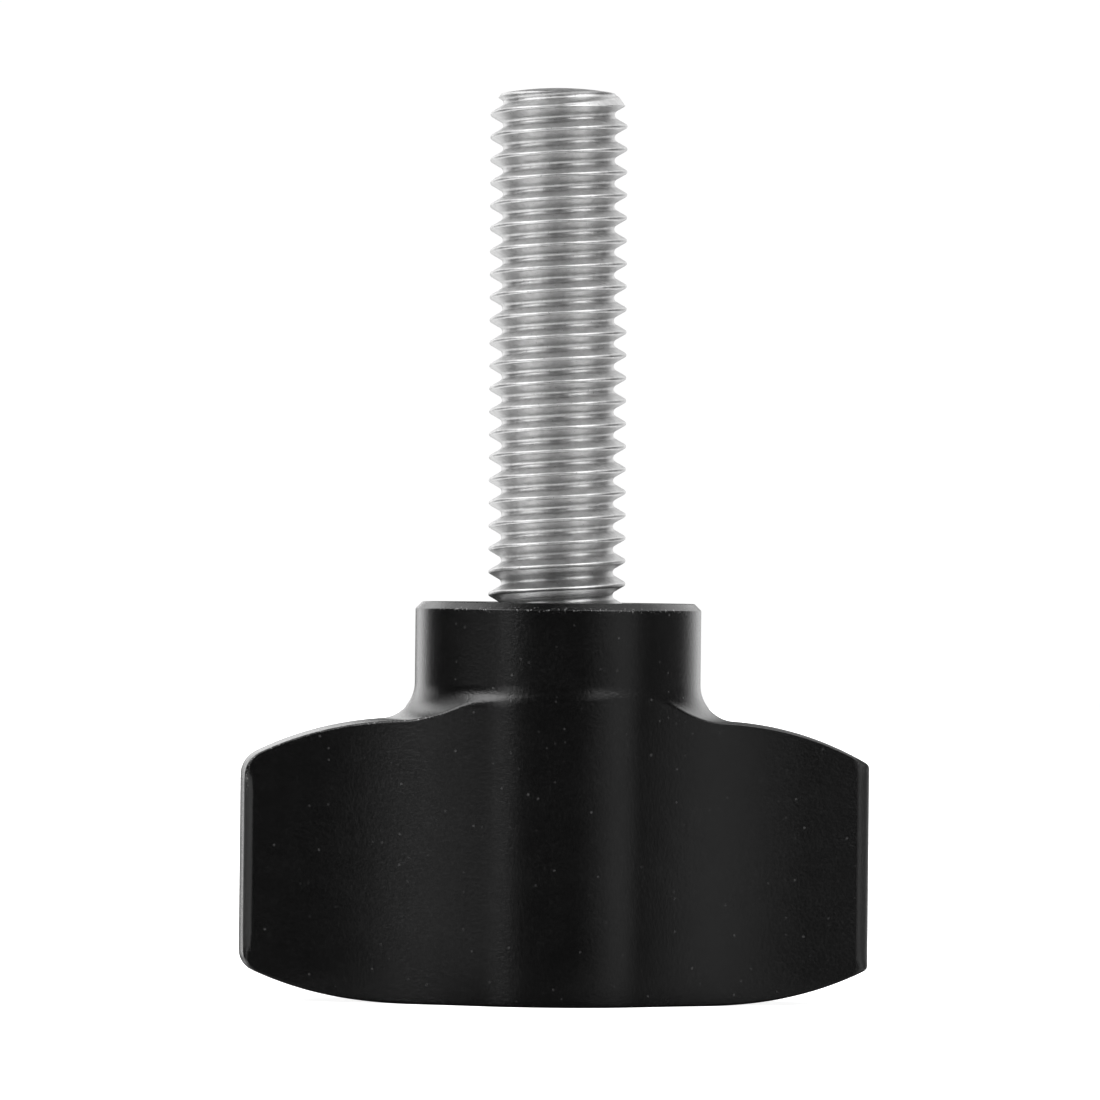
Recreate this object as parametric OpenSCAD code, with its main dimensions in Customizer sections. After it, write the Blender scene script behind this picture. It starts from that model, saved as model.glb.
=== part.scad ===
// Thumb screw: a turned hub with two milled wings, carrying a threaded stud.
// Millimetres. The origin is the centre of the hub's bearing face, the stud
// points along +Z, and the wings lie along X.

/* [Stud] */
// Major diameter of the stud's thread
thread_d = 6; // [5:0.1:7]
// Length of the stud above the bearing face, to the top of its crowned end
stud_l = 22.5; // [16:0.5:40]
// Radius of the stud at the edge of its crowned end
stud_end_r = 2.53; // [2.2:0.01:2.7]
// Angle of the end chamfer, measured from the axis
stud_end_angle = 35; // [20:1:50]
// Radius of the crown on the stud's end
stud_crown_r = 14; // [9:0.5:30]
// Mean diameter of the stud's buried part, which is the thread's pitch diameter
buried_d = 5.35; // [4.8:0.05:5.6]
// Length of the stud's buried part
buried_l = 10.5; // [7:0.5:12]

/* [Hub] */
// Diameter of the hub
hub_d = 12.5; // [11.6:0.1:13]
// Chamfer round the bearing face
hub_chamfer = 0.3; // [0.2:0.05:0.6]
// Depth at which the hub's straight side ends and its fillet begins
hub_side = 3.54; // [3:0.02:4]
// Radius of the fillet between the hub and the shoulders
fillet_r = 1.6; // [1.3:0.1:1.8]
// Diameter of the countersink at the mouth of the stud's hole
mouth_d = 6.7; // [6.2:0.1:7.4]
// Depth of the stud's hole below the bearing face, without its drill point
hole_l = 12; // [12:0.5:13]

/* [Turned body] */
// Width over the two wings
span = 27.5; // [26:0.1:29]
// Height of the knob, from the bearing face to the base
knob_h = 17.45; // [17:0.05:18.5]
// Radius of the arc over the shoulders, in the turned section
dome_r = 13.74; // [13:0.02:14.5]
// Distance of that arc's centre from the axis
dome_off = 6.88; // [6.5:0.02:7.2]
// Radius of the flat middle of the base
base_flat_r = 7.2; // [7.1:0.1:7.8]
// Radius of the arc from the flat to the rim
base_r = 14.5; // [13.5:0.1:16]
// Rounding of the turned rim, above and below
rim_round = 0.45; // [0.3:0.05:0.6]

/* [Wings] */
// Radius of the wall at the middle of the front and of the back
neck_r = 6.35; // [6.3:0.05:6.5]
// Radius of the hollow that leads from the middle to a wing
blend_r = 20.5; // [18:0.5:23]
// Taper of each side of a wing, in degrees
wing_taper = 10.5; // [9:0.5:12]
// Width of a wing at its tip
tip_w = 3.6; // [3:0.1:4.2]
// Rounding of the upright edges at the tip
tip_round = 0.3; // [0.2:0.05:0.4]

/* [Hidden] */
$fn = 128;

hub_r = hub_d / 2;
tip_r = span / 2;

// How far each arc runs past its neighbours, so that they cross cleanly
eps = 0.002;

// --- turned section, as [distance from the axis, height] -------------------
// centre of the hub's fillet
cf = [hub_r + fillet_r, -hub_side];
// centre of the shoulder arc, which the fillet runs into
cd = [dome_off, -hub_side - sqrt(pow(dome_r + fillet_r, 2) - pow(cf[0] - dome_off, 2))];
// centre of the base arc, which the flat runs into
cb = [base_flat_r, -knob_h + base_r];
// centres of the two rim roundings
rr = tip_r - rim_round;
cg = [rr, cd[1] + sqrt(pow(dome_r - rim_round, 2) - pow(rr - cd[0], 2))];
ch = [rr, cb[1] - sqrt(pow(base_r - rim_round, 2) - pow(rr - cb[0], 2))];
// directions from the arcs' centres to where they meet the next arc
uf = (cf - cd) / norm(cf - cd);
ug = (cg - cd) / norm(cg - cd);
uh = (ch - cb) / norm(ch - cb);

// --- plan of the walls ------------------------------------------------------
tt = tan(wing_taper);
tip_v = tip_w / 2;
// outward normal and run of a wing's side
wn = [sin(wing_taper), cos(wing_taper)];
wt = [cos(wing_taper), -sin(wing_taper)];
// centre of the hollow, which touches the middle wall and the wing's side
pa = tip_v + tip_r * tt + blend_r / cos(wing_taper);
ps = neck_r + blend_r;
pcx = (pa * tt + sqrt(pa * pa * tt * tt - (1 + tt * tt) * (pa * pa - ps * ps))) / (1 + tt * tt);
pc = [pcx, pa - pcx * tt];
// its two ends
p1 = pc * neck_r / ps;
p2 = pc - blend_r * wn;
// centre of the tip's rounded edge, which stands 0.03 past the rim
pk = tip_r * wn[0] + tip_v * wn[1] - tip_round;
pr = tip_r - tip_round + 0.03;
pe = pk * wn + sqrt(pr * pr - pk * pk) * wt;
pu = pe / norm(pe);

// --- stud ---------------------------------------------------------------------
stud_r = thread_d / 2;
// height of the crown's edge, and of the chamfer's lower end
crown_z = stud_l - (stud_crown_r - sqrt(pow(stud_crown_r, 2) - pow(stud_end_r, 2)));
chamfer_z = crown_z - (stud_r - stud_end_r) / tan(stud_end_angle);

// A point moved to another quarter of the plan.
function at(p, sx, sy) = [p[0] * sx, p[1] * sy];
// A list of points moved to another quarter, still running counter-clockwise.
function quarter(pts, sx, sy) = [
    for (i = [0 : len(pts) - 1]) at(pts[sx * sy > 0 ? i : len(pts) - 1 - i], sx, sy)
];

// Plan of the walls: a round middle, two tapered wings, and the four hollows
// that lead from one to the other.
module plan() {
    circle(r = neck_r);
    // both wings, out past the rim
    side = [pe + 3 * pu, pe, pe + tip_round * wn, [0, tip_v + tip_r * tt]];
    polygon(concat(side, quarter([side[0], side[1], side[2]], -1, 1),
                   quarter(side, -1, -1), quarter([side[0], side[1], side[2]], 1, -1)));
    for (sx = [-1, 1], sy = [-1, 1]) {
        // rounded upright edge of the tip
        translate(at(pe, sx, sy)) circle(r = tip_round + eps);
        // hollow
        difference() {
            polygon(quarter([0.5 * p1, p2 - wn, p2 + 2 * wn, 1.5 * p1], sx, sy));
            translate(at(pc, sx, sy)) circle(r = blend_r + eps);
        }
    }
}

// Half section of the turned body, right of the axis.
module section() {
    // hub and its chamfer
    polygon([[0, 0], [0, -9], [hub_r, -9], [hub_r, -hub_chamfer], [hub_r - hub_chamfer, 0]]);
    // fillet
    difference() {
        polygon([[hub_r - 0.6, -hub_side], [hub_r - 0.6, -hub_side - 4], cf - (fillet_r + 1.5) * uf, cf]);
        translate(cf) circle(r = fillet_r + eps);
    }
    // shoulder, above the middle
    intersection() {
        translate(cd) circle(r = dome_r);
        polygon([[0, 0], [0, -11], [rr, -11], cg, cd + (dome_r + 1) * ug, cd + (dome_r + 3) * (uf + ug) / norm(uf + ug)]);
    }
    // base, below the middle: a flat and an arc
    intersection() {
        union() {
            polygon([[0, -10], [0, -knob_h - 1], [base_flat_r, -knob_h - 1], [base_flat_r, -10]]);
            intersection() {
                translate(cb) circle(r = base_r + eps);
                polygon([[1, -10], [1, -knob_h - 1], cb + (base_r + 3) * (uh - [0, 1]) / norm(uh - [0, 1]), cb + (base_r + 1) * uh, ch, [rr, -10]]);
            }
        }
        polygon([[0, 0], [0, -knob_h], [tip_r + 5, -knob_h], [tip_r + 5, 0]]);
    }
    // rim and its two roundings
    polygon([[rr - 1, cg[1]], [rr - 1, ch[1]], [tip_r, ch[1]], [tip_r, cg[1]]]);
    translate(cg) circle(r = rim_round + eps);
    translate(ch) circle(r = rim_round + eps);
}

// The knob: one piece of aluminium, turned, milled flat-sided, drilled.
module knob() {
    color([0.08, 0.08, 0.08])
    difference() {
        intersection() {
            translate([0, 0, -knob_h - 2]) linear_extrude(height = knob_h + 4) plan();
            rotate_extrude() section();
        }
        // blind hole for the stud, with its drill point and countersink
        translate([0, 0, -hole_l]) cylinder(d = buried_d, h = hole_l + 1);
        translate([0, 0, -hole_l - buried_d / 2 * tan(31)])
            cylinder(r1 = 0, r2 = buried_d / 2, h = buried_d / 2 * tan(31));
        translate([0, 0, -(mouth_d - buried_d) / 2])
            cylinder(d1 = buried_d, d2 = mouth_d + 2, h = (mouth_d - buried_d) / 2 + 1);
    }
}

// The stud: one turned piece, round outside at the thread's major diameter,
// with a chamfered and slightly crowned end.
module stud() {
    color([0.62, 0.62, 0.60])
    union() {
        translate([0, 0, -buried_l]) cylinder(d = buried_d, h = buried_l);
        cylinder(r = stud_r, h = chamfer_z);
        intersection() {
            translate([0, 0, chamfer_z])
                cylinder(r1 = stud_r, r2 = stud_r - (stud_l + 1 - chamfer_z) * tan(stud_end_angle), h = stud_l + 1 - chamfer_z);
            translate([0, 0, stud_l - stud_crown_r]) sphere(r = stud_crown_r);
        }
    }
}

knob();
stud();
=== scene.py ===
# Thumb screw: black anodised knob with two wings, stainless M6 stud.
# Metres in the scene; the shapes below are worked out in millimetres and scaled once.
import bpy, math
import numpy as np
from mathutils import Matrix, Vector


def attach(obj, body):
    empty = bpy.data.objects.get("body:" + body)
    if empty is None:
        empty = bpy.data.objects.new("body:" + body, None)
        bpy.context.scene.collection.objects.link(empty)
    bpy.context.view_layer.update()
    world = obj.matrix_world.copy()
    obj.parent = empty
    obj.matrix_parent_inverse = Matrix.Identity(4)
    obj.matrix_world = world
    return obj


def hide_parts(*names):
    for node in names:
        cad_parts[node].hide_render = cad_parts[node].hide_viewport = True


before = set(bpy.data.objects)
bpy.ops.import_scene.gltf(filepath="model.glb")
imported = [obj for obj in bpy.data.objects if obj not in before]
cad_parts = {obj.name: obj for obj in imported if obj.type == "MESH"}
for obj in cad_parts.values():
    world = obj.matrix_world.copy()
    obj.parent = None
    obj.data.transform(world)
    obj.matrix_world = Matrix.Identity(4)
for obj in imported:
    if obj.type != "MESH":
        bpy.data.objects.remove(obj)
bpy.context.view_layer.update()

MM = 0.001

# ---------------------------------------------------------------- camera ----
AZ = math.radians(-4.0)          # the camera stands a little to the left of the front
DIST = 437.0                     # camera to the stud's axis
FRAME_MM = 48.12                 # width of the picture at the axis
EYE_Z = 2.08                     # height of the eye above the hub's face
AIM_R, AIM_Z = -0.317, 2.30       # what the middle of the picture looks at
ROLL = math.radians(0.6)         # the object leans this much clockwise in the picture

to_cam = np.array([math.sin(AZ), -math.cos(AZ), 0.0])
to_right = np.array([math.cos(AZ), math.sin(AZ), 0.0])
aim = to_right * AIM_R + np.array([0, 0, AIM_Z])
eye = to_right * AIM_R + to_cam * DIST + np.array([0, 0, EYE_Z])
fwd = Vector(aim - eye).normalized()
right0 = fwd.cross(Vector((0, 0, 1))).normalized()
up0 = right0.cross(fwd)
up = up0 * math.cos(ROLL) - right0 * math.sin(ROLL)
right = right0 * math.cos(ROLL) + up0 * math.sin(ROLL)
cam_data = bpy.data.cameras.new("camera")
cam = bpy.data.objects.new("camera", cam_data)
bpy.context.scene.collection.objects.link(cam)
cam_data.sensor_width = 36.0
cam_data.lens = 36.0 * DIST / FRAME_MM
cam_data.clip_start, cam_data.clip_end = 0.01, 10.0
m = Matrix.Identity(4)
for i in range(3):
    m[i][0], m[i][1], m[i][2], m[i][3] = right[i], up[i], -fwd[i], eye[i] * MM
cam.matrix_world = m
bpy.context.scene.camera = cam

# ------------------------------------------------------------ node helpers --
class Graph:
    """A small helper that writes node trees as expressions."""

    def __init__(self, tree):
        self.t = tree
        self.t.nodes.clear()

    def node(self, kind, **props):
        n = self.t.nodes.new(kind)
        for k, v in props.items():
            setattr(n, k, v)
        return n

    def put(self, socket, value):
        if isinstance(value, bpy.types.NodeSocket):
            self.t.links.new(value, socket)
        else:
            socket.default_value = value

    def math(self, op, a, b=None, c=None, clamp=False):
        n = self.node("ShaderNodeMath", operation=op, use_clamp=clamp)
        for s, v in zip(n.inputs, (a, b, c)):
            if v is not None:
                self.put(s, v)
        return n.outputs[0]

    def add(self, a, b): return self.math("ADD", a, b)
    def sub(self, a, b): return self.math("SUBTRACT", a, b)
    def mul(self, a, b): return self.math("MULTIPLY", a, b)

    def step(self, x, lo, hi, a=0.0, b=1.0):
        """Smooth ramp of x from a at lo to b at hi."""
        n = self.node("ShaderNodeMapRange", interpolation_type="SMOOTHSTEP", clamp=True)
        for s, v in zip(n.inputs, (x, lo, hi, a, b)):
            self.put(s, v)
        return n.outputs[0]

    def mix(self, f, a, b):
        n = self.node("ShaderNodeMix", data_type="FLOAT")
        self.put(n.inputs[0], f); self.put(n.inputs[2], a); self.put(n.inputs[3], b)
        return n.outputs[0]

    def mixc(self, f, a, b):
        n = self.node("ShaderNodeMix", data_type="RGBA")
        self.put(n.inputs[0], f); self.put(n.inputs[6], a); self.put(n.inputs[7], b)
        return n.outputs[2]

    def noise(self, vec, scale, detail=2.0, rough=0.5, w=None):
        n = self.node("ShaderNodeTexNoise", noise_dimensions="3D")
        self.put(n.inputs["Vector"], vec)
        self.put(n.inputs["Scale"], scale); self.put(n.inputs["Detail"], detail)
        self.put(n.inputs["Roughness"], rough)
        return n.outputs[0]

    def voronoi(self, vec, scale):
        n = self.node("ShaderNodeTexVoronoi", feature="F1")
        self.put(n.inputs["Vector"], vec); self.put(n.inputs["Scale"], scale)
        return n.outputs["Distance"], n.outputs["Color"]

    def xyz(self, v):
        n = self.node("ShaderNodeSeparateXYZ")
        self.put(n.inputs[0], v)
        return n.outputs[0], n.outputs[1], n.outputs[2]

    def vec(self, x, y, z):
        n = self.node("ShaderNodeCombineXYZ")
        for s, v in zip(n.inputs, (x, y, z)):
            self.put(s, v)
        return n.outputs[0]

    def scale(self, v, s):
        n = self.node("ShaderNodeVectorMath", operation="SCALE")
        self.put(n.inputs[0], v); self.put(n.inputs["Scale"], s)
        return n.outputs[0]

    def bump(self, height, strength, distance, normal=None):
        n = self.node("ShaderNodeBump")
        self.put(n.inputs["Height"], height); self.put(n.inputs["Strength"], strength)
        self.put(n.inputs["Distance"], distance)
        if normal is not None:
            self.put(n.inputs["Normal"], normal)
        return n.outputs[0]


def new_material(name):
    mat = bpy.data.materials.new(name)
    mat.use_nodes = True
    g = Graph(mat.node_tree)
    out = g.node("ShaderNodeOutputMaterial")
    return mat, g, out

# ------------------------------------------------------------------ light ---
# A soft studio, drawn by direction: azimuth from the camera (minus is left) and
# elevation, in degrees. Each entry: az from, az to, edge, el from, el to, edge, light.
BOXES = [
    (-83, -43, 30, 23, 50, 3, 5.34),       # soft box, left
    (36, 64, 10, 21, 62, 3, 4.92),         # soft box, right
    (-87, -41, 49, -45, -14, 40, 1.78),    # its light on the table, left
    (42, 67, 20, -68, 29, 13, 0.45),       # its light on the table, right
    (-47, -34, 5, 4, 18, 3, 2.16),         # strip by the camera, left
    (30, 38, 7, 4, 37, 3, 0.98),           # strip by the camera, right
    (-77, 94, 25, 46, 60, 4, 2.12),        # overhead, front
    (87, 141, 25, 32, 87, 4, 1.08),        # overhead, right
    (-149, -94, 2, 36, 65, 37, 2.10),      # overhead, left
    (135, 171, 24, -5, 44, 9, 1.40),       # backdrop, right
    (-161, -135, 10, -8, 35, 7, 1.91),     # backdrop, left
    (-134, -121, 7, 4, 19, 11, 1.10),      # backdrop, far left
    (81, 141, 19, -13, 21, 12, 0.10),      # backdrop, far right
    (-176, -109, 21, -20, -9, 4, 0.84),    # foot of the backdrop, left
    (121, 167, 18, -18, -5, 9, 0.94),      # foot of the backdrop, right
    (-177.5, -165, 3, 2, 24, 10, 1.50),    # backdrop behind, left
    (-52, 49, 36, -82, -64, 17, 0.70),     # table in front
    (-200, 200, 16, -40, -19, 16, 1.61),   # table all round
]
AMBIENT = 0.017

world = bpy.data.worlds.new("studio")
bpy.context.scene.world = world
world.use_nodes = True
g = Graph(world.node_tree)
tc = g.node("ShaderNodeTexCoord")
dx, dy, dz = g.xyz(tc.outputs["Generated"])
along_c = g.add(g.mul(dx, float(to_cam[0])), g.mul(dy, float(to_cam[1])))
along_r = g.add(g.mul(dx, float(to_right[0])), g.mul(dy, float(to_right[1])))
az = g.mul(g.math("ARCTAN2", along_r, along_c), 180 / math.pi)
el = g.mul(g.math("ARCSINE", dz), 180 / math.pi)
total = AMBIENT
for a0, a1, ae, e0, e1, ee, strength in BOXES:
    f = g.mul(g.step(el, e0 - ee / 2, e0 + ee / 2), g.step(el, e1 - ee / 2, e1 + ee / 2, 1.0, 0.0))
    if a1 - a0 < 358:
        half = (a1 - a0) / 2
        d = g.math("ABSOLUTE", g.math("WRAP", g.sub(az, (a0 + a1) / 2), 180.0, -180.0))
        f = g.mul(f, g.step(d, half - ae / 2, half + ae / 2, 1.0, 0.0))
    total = g.add(g.mul(f, strength), total)
bg = g.node("ShaderNodeBackground")
bg.inputs["Color"].default_value = (1, 1, 1, 1)
g.put(bg.inputs["Strength"], total)
wo = g.node("ShaderNodeOutputWorld")
g.t.links.new(bg.outputs[0], wo.inputs["Surface"])

sc = bpy.context.scene
sc.view_settings.view_transform = "Standard"
sc.view_settings.look = "None"
sc.view_settings.exposure = 0.0
sc.view_settings.gamma = 1.0

# ------------------------------------------------------- floor and backdrop -
def mesh_object(name, verts, faces, smooth=True, normals=None):
    me = bpy.data.meshes.new(name)
    me.from_pydata([tuple(v) for v in verts], [], faces)
    me.update()
    if smooth:
        me.polygons.foreach_set("use_smooth", [True] * len(me.polygons))
    if normals is not None:
        me.normals_split_custom_set_from_vertices([tuple(n) for n in normals])
    o = bpy.data.objects.new(name, me)
    bpy.context.scene.collection.objects.link(o)
    return o

BASE_Z = -17.45
ring = [(0.85 * math.cos(2 * math.pi * i / 96), 0.85 * math.sin(2 * math.pi * i / 96), BASE_Z * MM) for i in range(96)]
floor = mesh_object("floor", ring, [list(range(96))], smooth=False)
floor.visible_glossy = False
floor.visible_shadow = False
mat, g, out = new_material("floor_white")
p = g.node("ShaderNodeBsdfPrincipled")
p.inputs["Base Color"].default_value = (0.86, 0.86, 0.86, 1)
p.inputs["Roughness"].default_value = 0.9
p.inputs["Specular IOR Level"].default_value = 0.0
p.inputs["Emission Color"].default_value = (1, 1, 1, 1)
p.inputs["Emission Strength"].default_value = 0.92
g.t.links.new(p.outputs[0], out.inputs["Surface"])
floor.data.materials.append(mat)

# the table's own shade close to the base, seen only in the finish's reflections
ring = [(0.0165 * math.cos(2 * math.pi * i / 96), 0.0165 * math.sin(2 * math.pi * i / 96), BASE_Z * MM) for i in range(96)]
shade = mesh_object("contact_shade", ring, [list(range(96))], smooth=False)
for flag in ("visible_camera", "visible_diffuse", "visible_transmission", "visible_volume_scatter", "visible_shadow"):
    setattr(shade, flag, False)
mat, g, out = new_material("shaded_table")
x, y, z = g.xyz(g.scale(g.node("ShaderNodeTexCoord").outputs["Object"], 1000.0))
em = g.node("ShaderNodeEmission")
em.inputs["Color"].default_value = (1, 1, 1, 1)
g.put(em.inputs["Strength"], g.step(g.math("SQRT", g.add(g.mul(x, x), g.mul(y, y))), 8.0, 16.5, 0.015, 0.35))
g.t.links.new(em.outputs[0], out.inputs["Surface"])
shade.data.materials.append(mat)

rows_, cols_ = 24, 48
verts = [(0, 0, -0.9)]
for i in range(1, rows_):
    t = math.pi * i / rows_
    for j in range(cols_):
        q = 2 * math.pi * j / cols_
        verts.append((0.9 * math.sin(t) * math.cos(q), 0.9 * math.sin(t) * math.sin(q), -0.9 * math.cos(t)))
verts.append((0, 0, 0.9))
faces = [(0, 1 + (j + 1) % cols_, 1 + j) for j in range(cols_)]
for i in range(rows_ - 2):
    for j in range(cols_):
        a, b = 1 + i * cols_ + j, 1 + i * cols_ + (j + 1) % cols_
        faces.append((a, b, b + cols_, a + cols_))
last = 1 + (rows_ - 2) * cols_
faces += [(last + j, last + (j + 1) % cols_, len(verts) - 1) for j in range(cols_)]
backdrop = mesh_object("backdrop", verts, faces)
for flag in ("visible_diffuse", "visible_glossy", "visible_transmission", "visible_volume_scatter", "visible_shadow"):
    setattr(backdrop, flag, False)
mat, g, out = new_material("backdrop_white")
em = g.node("ShaderNodeEmission")
em.inputs["Color"].default_value = (1, 1, 1, 1)
em.inputs["Strength"].default_value = 1.02
g.t.links.new(em.outputs[0], out.inputs["Surface"])
backdrop.data.materials.append(mat)

# ------------------------------------------------------------------- knob ---
HUB_R, CHAMFER, HUB_SIDE, FILLET_R = 6.25, 0.30, 3.54, 1.6
TIP_R, KNOB_H = 13.75, 17.45
DOME_R, DOME_OFF = 13.74, 6.88
FLAT_R, BASE_R, RIM = 7.2, 14.5, 0.45
NECK_R, BLEND_R, TAPER, TIP_V = 6.35, 20.5, math.radians(10.5), 1.8
BORE_R, MOUTH_R, HOLE_L = 2.675, 3.35, 12.0
# the turned hub and the milled walls are not quite concentric
HUB_DX, WALL_DX = 0.08, -0.07

# turned section, as (distance from the axis, height)
cf = np.array([HUB_R + FILLET_R, -HUB_SIDE])
cd = np.array([DOME_OFF, -HUB_SIDE - math.sqrt((DOME_R + FILLET_R) ** 2 - (cf[0] - DOME_OFF) ** 2)])
cb = np.array([FLAT_R, -KNOB_H + BASE_R])


def rim_top(k):
    return np.array([TIP_R - k, cd[1] + math.sqrt((DOME_R - k) ** 2 - (TIP_R - k - cd[0]) ** 2)])


def rim_low(k):
    return np.array([TIP_R - k, cb[1] - math.sqrt((BASE_R - k) ** 2 - (TIP_R - k - cb[0]) ** 2)])


cg, ch = rim_top(RIM), rim_low(RIM)
# the left wing's tip is rubbed rounder than the right one
RIM_TOP, RIM_LOW = (1.15, 0.32), (0.95, 0.26)
uf = (cf - cd) / np.linalg.norm(cf - cd)
ug = (cg - cd) / np.linalg.norm(cg - cd)
uh = (ch - cb) / np.linalg.norm(ch - cb)

# plan of the walls, first quarter
wn = np.array([math.sin(TAPER), math.cos(TAPER)])
wt = np.array([math.cos(TAPER), -math.sin(TAPER)])
tt = math.tan(TAPER)
pa = TIP_V + TIP_R * tt + BLEND_R / math.cos(TAPER)
ps = NECK_R + BLEND_R
pcx = (pa * tt + math.sqrt((pa * tt) ** 2 - (1 + tt * tt) * (pa * pa - ps * ps))) / (1 + tt * tt)
pc = np.array([pcx, pa - pcx * tt])
p1 = pc * NECK_R / ps
p2 = pc - BLEND_R * wn
tip_p = np.array([TIP_R, TIP_V])


def wall_distance(x, y):
    """Signed distance to the milled walls, minus inside."""
    u, v = np.abs(x - WALL_DX), np.abs(y)
    neck = np.hypot(u, v) - NECK_R
    hollow = BLEND_R - np.hypot(u - pc[0], v - pc[1])
    side = (u - tip_p[0]) * wn[0] + (v - tip_p[1]) * wn[1]
    past_neck = u * p1[1] - v * p1[0] > 0            # on the wing's side of the line to the hollow's centre
    past_hollow = (u - p2[0]) * wt[0] + (v - p2[1]) * wt[1] > 0
    return np.where(past_neck, np.where(past_hollow, side, hollow), neck)


def turned_distance(x, y, z):
    """Signed distance to the turned body, minus inside."""
    rim_r = np.hypot(x, y)
    k = np.clip((z + 11.5) / 2.0, 0, 1)
    r = np.hypot(x - HUB_DX * k * np.clip((13.0 - rim_r) / 4.0, 0, 1), y)
    bd = np.hypot(r - cd[0], z - cd[1]) - DOME_R
    bf = FILLET_R - np.hypot(r - cf[0], z - cf[1])
    left = (r - cd[0]) * uf[1] - (z - cd[1]) * uf[0] < 0
    top = np.where(left, bf, bd)
    cyl = r - TIP_R
    top = np.maximum(top, cyl)
    bb = np.where(r < FLAT_R, -(z + KNOB_H), np.hypot(r - cb[0], z - cb[1]) - BASE_R)
    bb = np.maximum(bb, cyl)
    for side, kt, kl in ((x < 0, RIM_TOP[0], RIM_LOW[0]), (x >= 0, RIM_TOP[1], RIM_LOW[1])):
        c = rim_top(kt)
        u = (c - cd) / np.linalg.norm(c - cd)
        qr, qz = r - c[0], z - c[1]
        top = np.where(side & (qz > 0) & (qr * u[1] - qz * u[0] > 0), np.hypot(qr, qz) - kt, top)
        c = rim_low(kl)
        u = (c - cb) / np.linalg.norm(c - cb)
        qr, qz = r - c[0], z - c[1]
        bb = np.where(side & (qz < 0) & (qz * u[0] - qr * u[1] > 0), np.hypot(qr, qz) - kl, bb)
    return np.where(z > -11.5, top, bb)


def edge_radius(x, y, z):
    """How far the edges between the walls and the turned faces are broken."""
    s = np.clip((np.hypot(x, y) - 12.3) / 1.2, 0, 1)
    t = np.clip(np.where(x < 0, np.minimum(-6.9 - z, z + 15.9) / 1.2, np.minimum(-6.5 - z, z + 16.2) / 0.8), 0, 1)
    return 0.065 + np.where(x < 0, 0.29, 0.42) * s * s * (3 - 2 * s) * t * t * (3 - 2 * t)


def knob_field(p):
    a = wall_distance(p[:, 0], p[:, 1])
    b = turned_distance(p[:, 0], p[:, 1], p[:, 2])
    e = edge_radius(p[:, 0], p[:, 1], p[:, 2])
    return np.minimum(np.maximum(a, b), -e) + np.hypot(np.maximum(a + e, 0), np.maximum(b + e, 0))


def gradient(field, p, h=2e-5):
    out = np.zeros_like(p)
    for i in range(3):
        d = np.zeros(3); d[i] = h
        out[:, i] = (field(p + d) - field(p - d)) / (2 * h)
    return out


def settle(field, p, rounds=8):
    """Moves points onto the surface."""
    for _ in range(rounds):
        n = gradient(field, p)
        n /= np.maximum(np.sum(n * n, 1, keepdims=True), 1e-9)
        p = p - field(p)[:, None] * n
    return p


def dense(pts_list):
    """A polyline with its running length, for even or graded sampling."""
    pts = np.array(pts_list)
    s = np.concatenate([[0], np.cumsum(np.linalg.norm(np.diff(pts, axis=0), axis=1))])
    return pts, s


def arc(c, r, a0, a1, n):
    return [(c[0] + r * math.cos(a0 + (a1 - a0) * i / n), c[1] + r * math.sin(a0 + (a1 - a0) * i / n)) for i in range(n + 1)]


def graded(n, near0, near1, w0, w1):
    """n+1 numbers from 0 to 1, closer together at each end."""
    x = np.linspace(0, 1, 4001)
    d = 1 + near0 * np.exp(-x / w0) + near1 * np.exp(-(1 - x) / w1)
    c = np.concatenate([[0], np.cumsum((d[1:] + d[:-1]) / 2)])
    return np.interp(np.linspace(0, c[-1], n + 1), c, x)


# outline of the plan, as the azimuth and radius of each column
def quarter_outline():
    pts = []
    # corner where the wing's side meets the rim
    k = tip_p @ wn
    mcorner = math.sqrt(TIP_R ** 2 - k * k)
    corner = k * wn + mcorner * wt
    ca = math.atan2(corner[1], corner[0])
    step = 0.05 / TIP_R
    far = [a for a in np.arange(0, ca - 0.42 / TIP_R, 0.21 / TIP_R)]
    close = list(np.linspace(ca - 0.40 / TIP_R, ca, 9))
    pts += [(TIP_R * math.cos(a), TIP_R * math.sin(a)) for a in far + close]
    length = np.linalg.norm(corner - p2)
    for s in list(np.linspace(0.05, 0.40, 8)) + list(np.linspace(0.55, length, 15)):
        q = corner - wt * s
        pts.append((q[0], q[1]))
    a0, a1 = math.atan2(p2[1] - pc[1], p2[0] - pc[0]), math.atan2(p1[1] - pc[1], p1[0] - pc[0])
    pts += arc(pc, BLEND_R, a0, a1, 44)[1:]
    b0 = math.atan2(p1[1], p1[0])
    pts += arc((0, 0), NECK_R, b0, math.pi / 2, 24)[1:]
    return pts

quarter = quarter_outline()
outline = list(quarter)
outline += [(-x, y) for x, y in reversed(quarter[:-1])]
outline += [(x, -y) for x, y in reversed(outline[1:-1])]
outline = np.array(outline)
col_az = np.arctan2(outline[:, 1], outline[:, 0])
col_r = np.hypot(outline[:, 0], outline[:, 1])
n_cols = len(outline)

# upper and lower turned faces by length, from the hub outwards and from the rim inwards
aF0, aF1 = math.pi, math.atan2(-uf[1], -uf[0]) % (2 * math.pi)
aD0, aD1 = math.atan2(uf[1], uf[0]), math.atan2(ug[1], ug[0])
top_pts, top_s = dense(arc(cf, FILLET_R, aF0, aF1, 200) + arc(cd, DOME_R, aD0, aD1, 600)[1:] + arc(cg, RIM, aD1, 0.0, 100)[1:])
aB0 = math.atan2(uh[1], uh[0])
low_pts, low_s = dense(arc(ch, RIM, 0.0, aB0, 100) + arc(cb, BASE_R, aB0, -math.pi / 2, 500)[1:] + [(FLAT_R * (1 - i / 200), -KNOB_H) for i in range(1, 201)])


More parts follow.
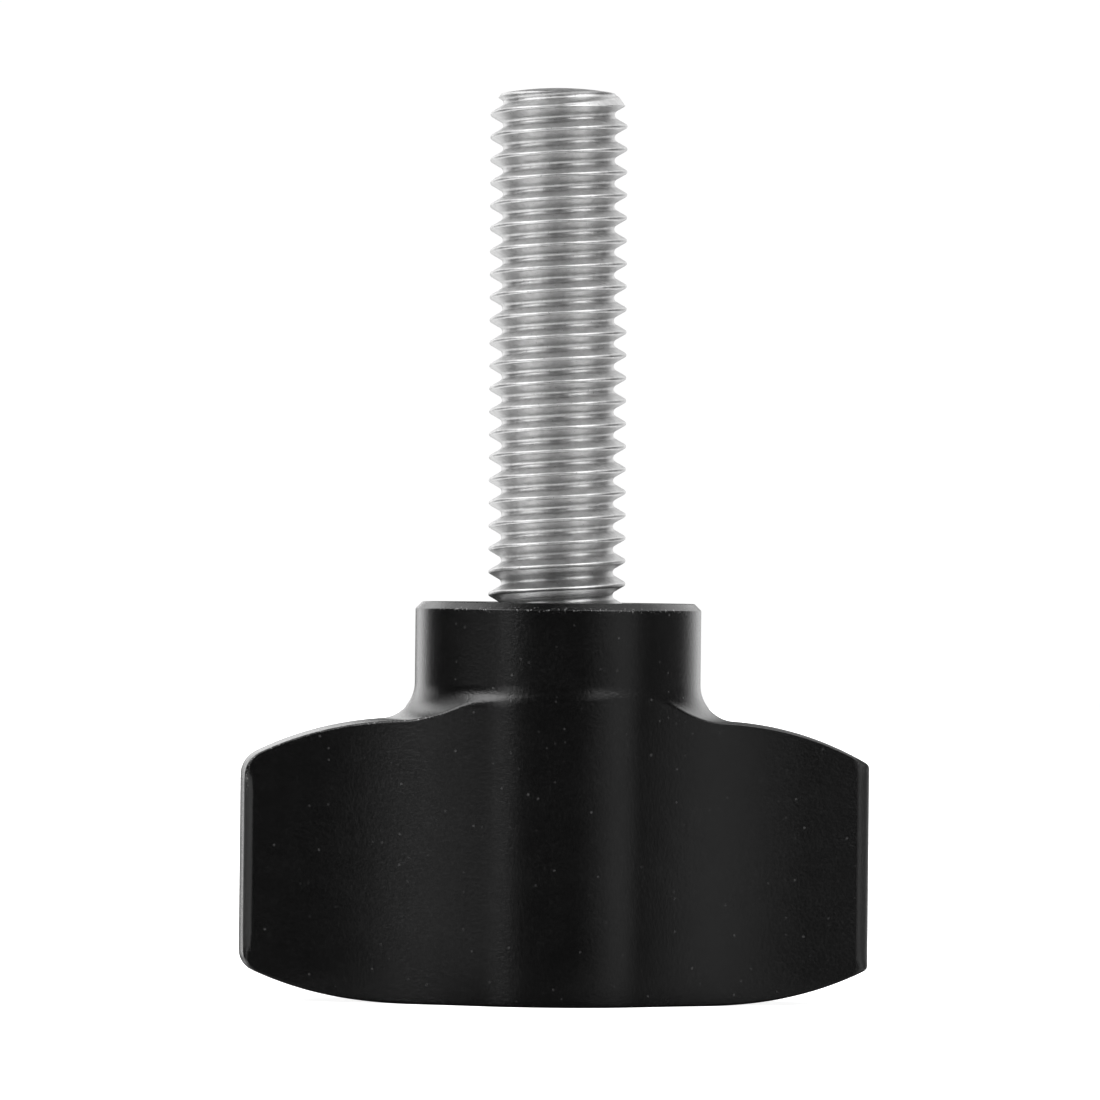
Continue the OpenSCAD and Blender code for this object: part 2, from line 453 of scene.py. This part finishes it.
def column_rows(az_, rad):
    """Points of one column from the hub's fillet over the shoulder, down the wall and in under the base."""
    s_top = np.interp(min(rad, TIP_R), top_pts[:, 0], top_s) if rad < TIP_R - 1e-9 else top_s[-1]
    w = graded(46, 1.6, 7.0, 0.22, 0.03) * s_top
    r = np.interp(w, top_s, top_pts[:, 0]); z = np.interp(w, top_s, top_pts[:, 1])
    rows = [np.stack([r, z], 1)]
    z0 = z[-1]
    order = low_pts[::-1]
    s_low = np.interp(rad, order[:, 0], low_s[::-1]) if rad < TIP_R - 1e-9 else 0.0
    z1 = np.interp(s_low, low_s, low_pts[:, 1])
    w = graded(28, 12.0, 12.0, 0.014, 0.014)[1:]
    rows.append(np.stack([np.full(len(w), rad), z0 + (z1 - z0) * w], 1))
    w = s_low + graded(34, 7.0, 0.0, 0.03, 0.2)[1:] * (low_s[-1] - s_low)
    r = np.interp(w, low_s, low_pts[:, 0]); z = np.interp(w, low_s, low_pts[:, 1])
    rows.append(np.stack([r, z], 1)[:-1])          # the last point is the pole
    rows = np.concatenate(rows)
    return np.stack([rows[:, 0] * math.cos(az_), rows[:, 0] * math.sin(az_), rows[:, 1]], 1)

lower = np.stack([column_rows(a, r) for a, r in zip(col_az, col_r)], 1)     # rows, columns, 3
lower[0, :, 0] += HUB_DX
n_low = lower.shape[0]
flat = lower[1:].reshape(-1, 3)
flat = settle(knob_field, flat)
low_norm = gradient(knob_field, flat)
low_norm /= np.linalg.norm(low_norm, axis=1, keepdims=True)
lower[1:] = flat.reshape(n_low - 1, n_cols, 3)

# hub, from the bottom of the hole up over the face and down the side, as r, z, nr, nz
def rounded_path(corners, radii, seg=4):
    """Corners of a path in (r, z), each broken by an arc; gives points and outward normals (left of travel)."""
    pts = []
    n = len(corners)
    for i, (c, rad) in enumerate(zip(corners, radii)):
        c = np.array(c, float)
        if i == 0 or i == n - 1 or rad == 0:
            if i in (0, n - 1):
                o = np.array(corners[1 if i == 0 else -2], float)
                d = (o - c) if i == 0 else (c - o)
                d /= np.linalg.norm(d)
                pts.append((c, np.array([-d[1], d[0]])))
            continue
        a = np.array(corners[i - 1], float); b = np.array(corners[i + 1], float)
        d0 = (c - a) / np.linalg.norm(c - a); d1 = (b - c) / np.linalg.norm(b - c)
        turn = math.atan2(d0[0] * d1[1] - d0[1] * d1[0], d0 @ d1)
        cut = rad * math.tan(abs(turn) / 2)
        n0, n1 = np.array([-d0[1], d0[0]]), np.array([-d1[1], d1[0]])
        s = -1.0 if turn < 0 else 1.0
        centre = c - d0 * cut + n0 * rad * s
        for k in range(seg + 1):
            t = turn * k / seg
            nn = np.array([n0[0] * math.cos(t) - n0[1] * math.sin(t), n0[0] * math.sin(t) + n0[1] * math.cos(t)])
            pts.append((centre - nn * rad * s, nn))
    return pts

def subdivide(path, longest):
    out = [path[0]]
    for (p, n), (q, k) in zip(path[:-1], path[1:]):
        steps = max(1, int(math.ceil(np.linalg.norm(q - p) / longest)))
        for i in range(1, steps + 1):
            t = i / steps
            nn = n * (1 - t) + k * t
            out.append((p * (1 - t) + q * t, nn / np.linalg.norm(nn)))
    return out

hub_path = rounded_path(
    [(0.0, -HOLE_L - 1.607), (BORE_R, -HOLE_L), (BORE_R, -(MOUTH_R - BORE_R)), (MOUTH_R, 0.0), (HUB_R - CHAMFER, 0.0), (HUB_R, -CHAMFER), (HUB_R, -HUB_SIDE)],
    [0, 0.05, 0.05, 0.05, 0.10, 0.07, 0])
hub_path = subdivide(hub_path, 0.45)
hub_path = hub_path[1:-1]                       # the first is the hole's pole, the last is the fillet's start
hub_rows = np.array([[(p[0] * math.cos(a) + HUB_DX * min(max((p[0] - 3.6) / 1.8, 0), 1), p[0] * math.sin(a), p[1]) for a in col_az] for p, _ in hub_path])
hub_norm = np.array([[(n[0] * math.cos(a), n[0] * math.sin(a), n[1]) for a in col_az] for _, n in hub_path])
fil_norm = np.array([[(math.cos(a), math.sin(a), 0.0) for a in col_az]])

grid = np.concatenate([hub_rows, lower])
norm = np.concatenate([hub_norm, fil_norm, low_norm.reshape(n_low - 1, n_cols, 3)])
n_rows = grid.shape[0]
verts = [(0, 0, -HOLE_L - 1.607)] + [tuple(v) for v in grid.reshape(-1, 3)] + [(0, 0, -KNOB_H)]
norms = [(0, 0, 1)] + [tuple(v) for v in norm.reshape(-1, 3)] + [(0, 0, -1)]
faces = [(0, 1 + j, 1 + (j + 1) % n_cols) for j in range(n_cols)]
for i in range(n_rows - 1):
    for j in range(n_cols):
        a, b = 1 + i * n_cols + j, 1 + i * n_cols + (j + 1) % n_cols
        faces.append((a, a + n_cols, b + n_cols, b))
last = 1 + (n_rows - 1) * n_cols
faces += [(last + j, len(verts) - 1, last + (j + 1) % n_cols) for j in range(n_cols)]
print("knob triangles", 2 * len(faces) - 2 * n_cols)
knob = mesh_object("winged_knob", np.array(verts) * MM, faces, normals=norms)

# 1 where hands and handling rub the lower edge of the hub's chamfer, all round; also a painted highlight along the left
# wing's edges, full on the upper ones and faint on the lower, where the light from the upper left catches them; 0
# elsewhere
V = np.array(verts)
rad = np.hypot(V[:, 0] - HUB_DX, V[:, 1])
wear_and_edge_highlight = np.exp(-((rad - (HUB_R - 0.02)) ** 2 + (V[:, 2] + CHAMFER) ** 2) / 0.0022)
a_ = wall_distance(V[:, 0], V[:, 1]); b_ = turned_distance(V[:, 0], V[:, 1], V[:, 2])
e_ = edge_radius(V[:, 0], V[:, 1], V[:, 2])
# painted highlight along the left wing's edges, where the light from the upper left catches them
edge_highlight = np.exp(-((a_ + 0.3 * e_) ** 2 + (b_ + 0.3 * e_) ** 2) / 0.006)
edge_highlight *= np.clip((-V[:, 0] - 3.5) / 3.0, 0, 1) * np.clip((V[:, 2] + 9.5) / 1.5, 0.3, 1)
wear_and_edge_highlight = np.clip(wear_and_edge_highlight + edge_highlight, 0, 1)
# rub: 1 on the broken upright edges of the tips, where the finish has gone dull
inner = np.clip(np.minimum(a_ + e_, b_ + e_) / np.maximum(e_, 1e-6) / 0.12, 0, 1)
rub = inner * np.clip((e_ - 0.16) / 0.14, 0, 1)
att = knob.data.attributes.new("wear_and_edge_highlight", "FLOAT", "POINT")
att.data.foreach_set("value", wear_and_edge_highlight.astype(np.float32))
att = knob.data.attributes.new("rub", "FLOAT", "POINT")
att.data.foreach_set("value", rub.astype(np.float32))

# ------------------------------------------------------------------- stud ---
PITCH, STUD_R, ROOT_R = 1.0, 3.0, 2.444
CREST_A, ROOT_A = 0.110, 0.200                  # radii of the crest and of the root
STUD_L, END_R, CROWN_R, END_ANGLE = 22.5, 2.53, 14.0, math.radians(35)
CREST_0 = 0.859                                 # height of a crest at azimuth 0
LEAN = 0.0056                                   # the stud stands a quarter of a degree out of true
END_Z = STUD_L - (CROWN_R - math.sqrt(CROWN_R ** 2 - END_R ** 2))
CHAMFER_Z = END_Z - (STUD_R - END_R) / math.tan(END_ANGLE)


def thread_radius(s):
    """Radius of the thread at s, the distance along the axis from the nearest crest."""
    s = np.abs(s)
    t60 = math.sin(math.radians(60))
    flank = STUD_R + CREST_A - s * math.sqrt(3)
    crest = STUD_R - CREST_A + np.sqrt(np.maximum(CREST_A ** 2 - s ** 2, 0))
    q = PITCH / 2 - s
    root = ROOT_R + ROOT_A - np.sqrt(np.maximum(ROOT_A ** 2 - q ** 2, 0))
    return np.where(s < CREST_A * t60, crest, np.where(q < ROOT_A * t60, root, flank))


def smooth_min(a, b, k):
    h = np.clip(0.5 + 0.5 * (b - a) / k, 0, 1)
    return b * (1 - h) + a * h - k * h * (1 - h)


def stud_radius(az_, z):
    s = (z - CREST_0 - PITCH * az_ / (2 * math.pi)) / PITCH
    s = (s - np.round(s)) * PITCH
    r = thread_radius(s)
    lim = STUD_R + 0.05 - (z - CHAMFER_Z + 0.0) * math.tan(END_ANGLE) * (z > CHAMFER_Z - 10)
    lim = np.where(z < CHAMFER_Z, STUD_R + (CHAMFER_Z - z) * math.tan(END_ANGLE), STUD_R - (z - CHAMFER_Z) * math.tan(END_ANGLE))
    r = smooth_min(r, lim, 0.03)
    # in the mouth of the hole the thread keeps clear of the knob
    cone = BORE_R + np.clip(z + (MOUTH_R - BORE_R), 0, None) - 0.006
    return np.minimum(r, cone)


n_az = 112
az_list = np.linspace(0, 2 * math.pi, n_az, endpoint=False)
z_list = np.concatenate([np.arange(-0.72, END_Z - 0.05, 0.0358), np.linspace(END_Z - 0.045, END_Z, 4)])
A, Z = np.meshgrid(az_list, z_list)
Rr = stud_radius(A, Z)
h = 1e-4
dz = (stud_radius(A, Z + h) - stud_radius(A, Z - h)) / (2 * h)
da = (stud_radius(A + h, Z) - stud_radius(A - h, Z)) / (2 * h) / Rr
N = np.stack([np.cos(A) + da * np.sin(A), np.sin(A) - da * np.cos(A), -dz], 2)
N /= np.linalg.norm(N, axis=2, keepdims=True)
body = np.stack([Rr * np.cos(A), Rr * np.sin(A), Z], 2)
# crown over the end, and the buried part below
top_r = Rr[-1]
crown_rows, crown_norm = [], []
crown_c = STUD_L - CROWN_R
for t in (0.985, 0.95, 0.88, 0.75, 0.6, 0.45, 0.3, 0.15):
    r = top_r * t
    zc = crown_c + np.sqrt(CROWN_R ** 2 - r ** 2)
    zc = zc if t < 0.96 else zc - 0.012 * (t - 0.94) / 0.045
    crown_rows.append(np.stack([r * np.cos(az_list), r * np.sin(az_list), zc], 1))
    tilt = r / CROWN_R + (0.5 if t > 0.98 else 0.08 if t > 0.94 else 0)
    crown_norm.append(np.stack([np.sin(tilt) * np.cos(az_list), np.sin(tilt) * np.sin(az_list), np.cos(tilt)], 1))
buried = []
bur_norm = []
for r, z, nr, nz in ((BORE_R - 0.25, -10.5, 0.5, -0.87), (BORE_R - 0.006, -10.25, 0.87, -0.5), (BORE_R - 0.006, -7.0, 1, 0), (BORE_R - 0.006, -4.0, 1, 0), (BORE_R - 0.006, -1.2, 1, 0)):
    buried.append(np.stack([r * np.cos(az_list), r * np.sin(az_list), np.full(n_az, z)], 1))
    bur_norm.append(np.stack([nr * np.cos(az_list), nr * np.sin(az_list), np.full(n_az, nz)], 1))
grid = np.concatenate([np.array(buried), body, np.array(crown_rows)])
norm = np.concatenate([np.array(bur_norm), N, np.array(crown_norm)])
n_rows = grid.shape[0]
up_ = np.clip(grid[:, :, 2], 0, None)
grid[:, :, 2] += LEAN * grid[:, :, 0] * np.clip(up_ / 1.5, 0, 1)
grid[:, :, 0] -= LEAN * up_
verts = [(0, 0, -10.5)] + [tuple(v) for v in grid.reshape(-1, 3)] + [(-LEAN * STUD_L, 0, STUD_L)]
norms = [(0, 0, -1)] + [tuple(v) for v in norm.reshape(-1, 3)] + [(0, 0, 1)]
faces = [(0, 1 + (j + 1) % n_az, 1 + j) for j in range(n_az)]
for i in range(n_rows - 1):
    for j in range(n_az):
        a, b = 1 + i * n_az + j, 1 + i * n_az + (j + 1) % n_az
        faces.append((a, b, b + n_az, a + n_az))
last = 1 + (n_rows - 1) * n_az
faces += [(last + j, last + (j + 1) % n_az, len(verts) - 1) for j in range(n_az)]
stud = mesh_object("threaded_stud", np.array(verts) * MM, faces, normals=norms)

# -------------------------------------------------------------- materials ---
# black anodised, fine-blasted aluminium
mat, g, out = new_material("black_anodised")
tc = g.node("ShaderNodeTexCoord")
co = g.scale(tc.outputs["Object"], 1000.0)                    # millimetres
grain = g.noise(co, 7.0, 3.0, 0.6)
fine = g.noise(co, 19.0, 2.0, 0.5)
broad = g.noise(co, 0.9, 3.0, 0.55)
vd, vc = g.voronoi(co, 2.6)
cr, cg_, cbb = g.xyz(vc)
speck = g.mul(g.step(vd, 0.04, 0.22, 1.0, 0.0), g.step(cr, 0.74, 0.88))     # a few small light specks
attn = g.node("ShaderNodeAttribute", attribute_type="GEOMETRY", attribute_name="wear_and_edge_highlight")
wear_highlight_fac = attn.outputs["Fac"]
wear_highlight_breakup = g.noise(co, 8.0, 3.0, 0.65)
dull = g.node("ShaderNodeAttribute", attribute_type="GEOMETRY", attribute_name="rub").outputs["Fac"]
dull = g.mul(dull, g.step(g.noise(co, 11.0, 3.0, 0.7), 0.32, 0.62, 0.55, 1.0))
# the worn edge of the hub's chamfer and the painted highlight on the left wing's edges, broken up into dots
wear_highlight_mask = g.mul(g.step(wear_highlight_fac, 0.35, 0.9), g.step(wear_highlight_breakup, 0.57, 0.68))
base = g.mixc(g.step(broad, 0.3, 0.7), (0.0013, 0.0013, 0.0013, 1), (0.0019, 0.0019, 0.0019, 1))
dust = g.mul(g.step(g.noise(co, 8.5, 2.0, 0.6), 0.53, 0.70), g.step(g.noise(co, 0.45, 2.0, 0.5), 0.42, 0.60, 0.25, 1.0))
base = g.mixc(dust, base, (0.0046, 0.0046, 0.0046, 1))        # the blasted grain catches a little light
base = g.mixc(g.mul(speck, g.mul(cg_, 0.5)), base, (0.07, 0.07, 0.07, 1))
base = g.mixc(dull, base, (0.010, 0.010, 0.010, 1))
# light grey: bare metal where the chamfer's edge is worn, and painted highlight along the left wing's edges
base = g.mixc(wear_highlight_mask, base, (0.27, 0.27, 0.27, 1))
rough = g.add(g.mul(g.sub(grain, 0.5), 0.10), 0.205)
rough = g.add(rough, g.add(g.mul(speck, 0.1), g.mul(dull, 0.2)))
height = g.add(g.mul(grain, 0.45), g.mul(fine, 0.25))
nrm = g.bump(height, 0.75, 0.00003)
p = g.node("ShaderNodeBsdfPrincipled")
g.put(p.inputs["Base Color"], base)
g.put(p.inputs["Roughness"], rough)
g.put(p.inputs["Metallic"], g.mul(wear_highlight_mask, 0.6))
p.inputs["IOR"].default_value = 1.5
g.put(p.inputs["Normal"], nrm)
g.t.links.new(p.outputs[0], out.inputs["Surface"])
knob.data.materials.append(mat)

# stainless thread, with the fine marks of its making along the helix
mat, g, out = new_material("stainless_thread")
tc = g.node("ShaderNodeTexCoord")
co = g.scale(tc.outputs["Object"], 1000.0)
x, y, z = g.xyz(co)
ang = g.math("ARCTAN2", x, g.mul(y, -1.0))                      # 0 at the front, seam at the back
lead = g.sub(z, g.mul(ang, PITCH / (2 * math.pi)))
line_co = g.vec(g.mul(g.math("SINE", ang), 1.6), g.mul(g.math("COSINE", ang), 1.6), g.mul(lead, 26.0))
lines = g.noise(line_co, 1.0, 3.0, 0.6)
mott = g.noise(co, 3.0, 4.0, 0.6)
pit = g.noise(co, 9.0, 2.0, 0.6)
base = g.mixc(g.step(mott, 0.3, 0.7), (0.52, 0.52, 0.52, 1), (0.64, 0.64, 0.64, 1))
base = g.mixc(g.step(pit, 0.66, 0.74), base, (0.30, 0.30, 0.30, 1))
rough = g.add(g.mul(g.sub(mott, 0.5), 0.12), 0.41)
height = g.add(g.mul(lines, 1.0), g.mul(pit, 0.25))
nrm = g.bump(height, 0.5, 0.00002)
p = g.node("ShaderNodeBsdfPrincipled")
g.put(p.inputs["Base Color"], base)
g.put(p.inputs["Roughness"], rough)
p.inputs["Metallic"].default_value = 1.0
g.put(p.inputs["Normal"], nrm)
g.t.links.new(p.outputs[0], out.inputs["Surface"])
stud.data.materials.append(mat)

# ---------------------------------------------------------------- pieces ----
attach(knob, "root")
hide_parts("knob")
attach(stud, "root")
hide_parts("stud")
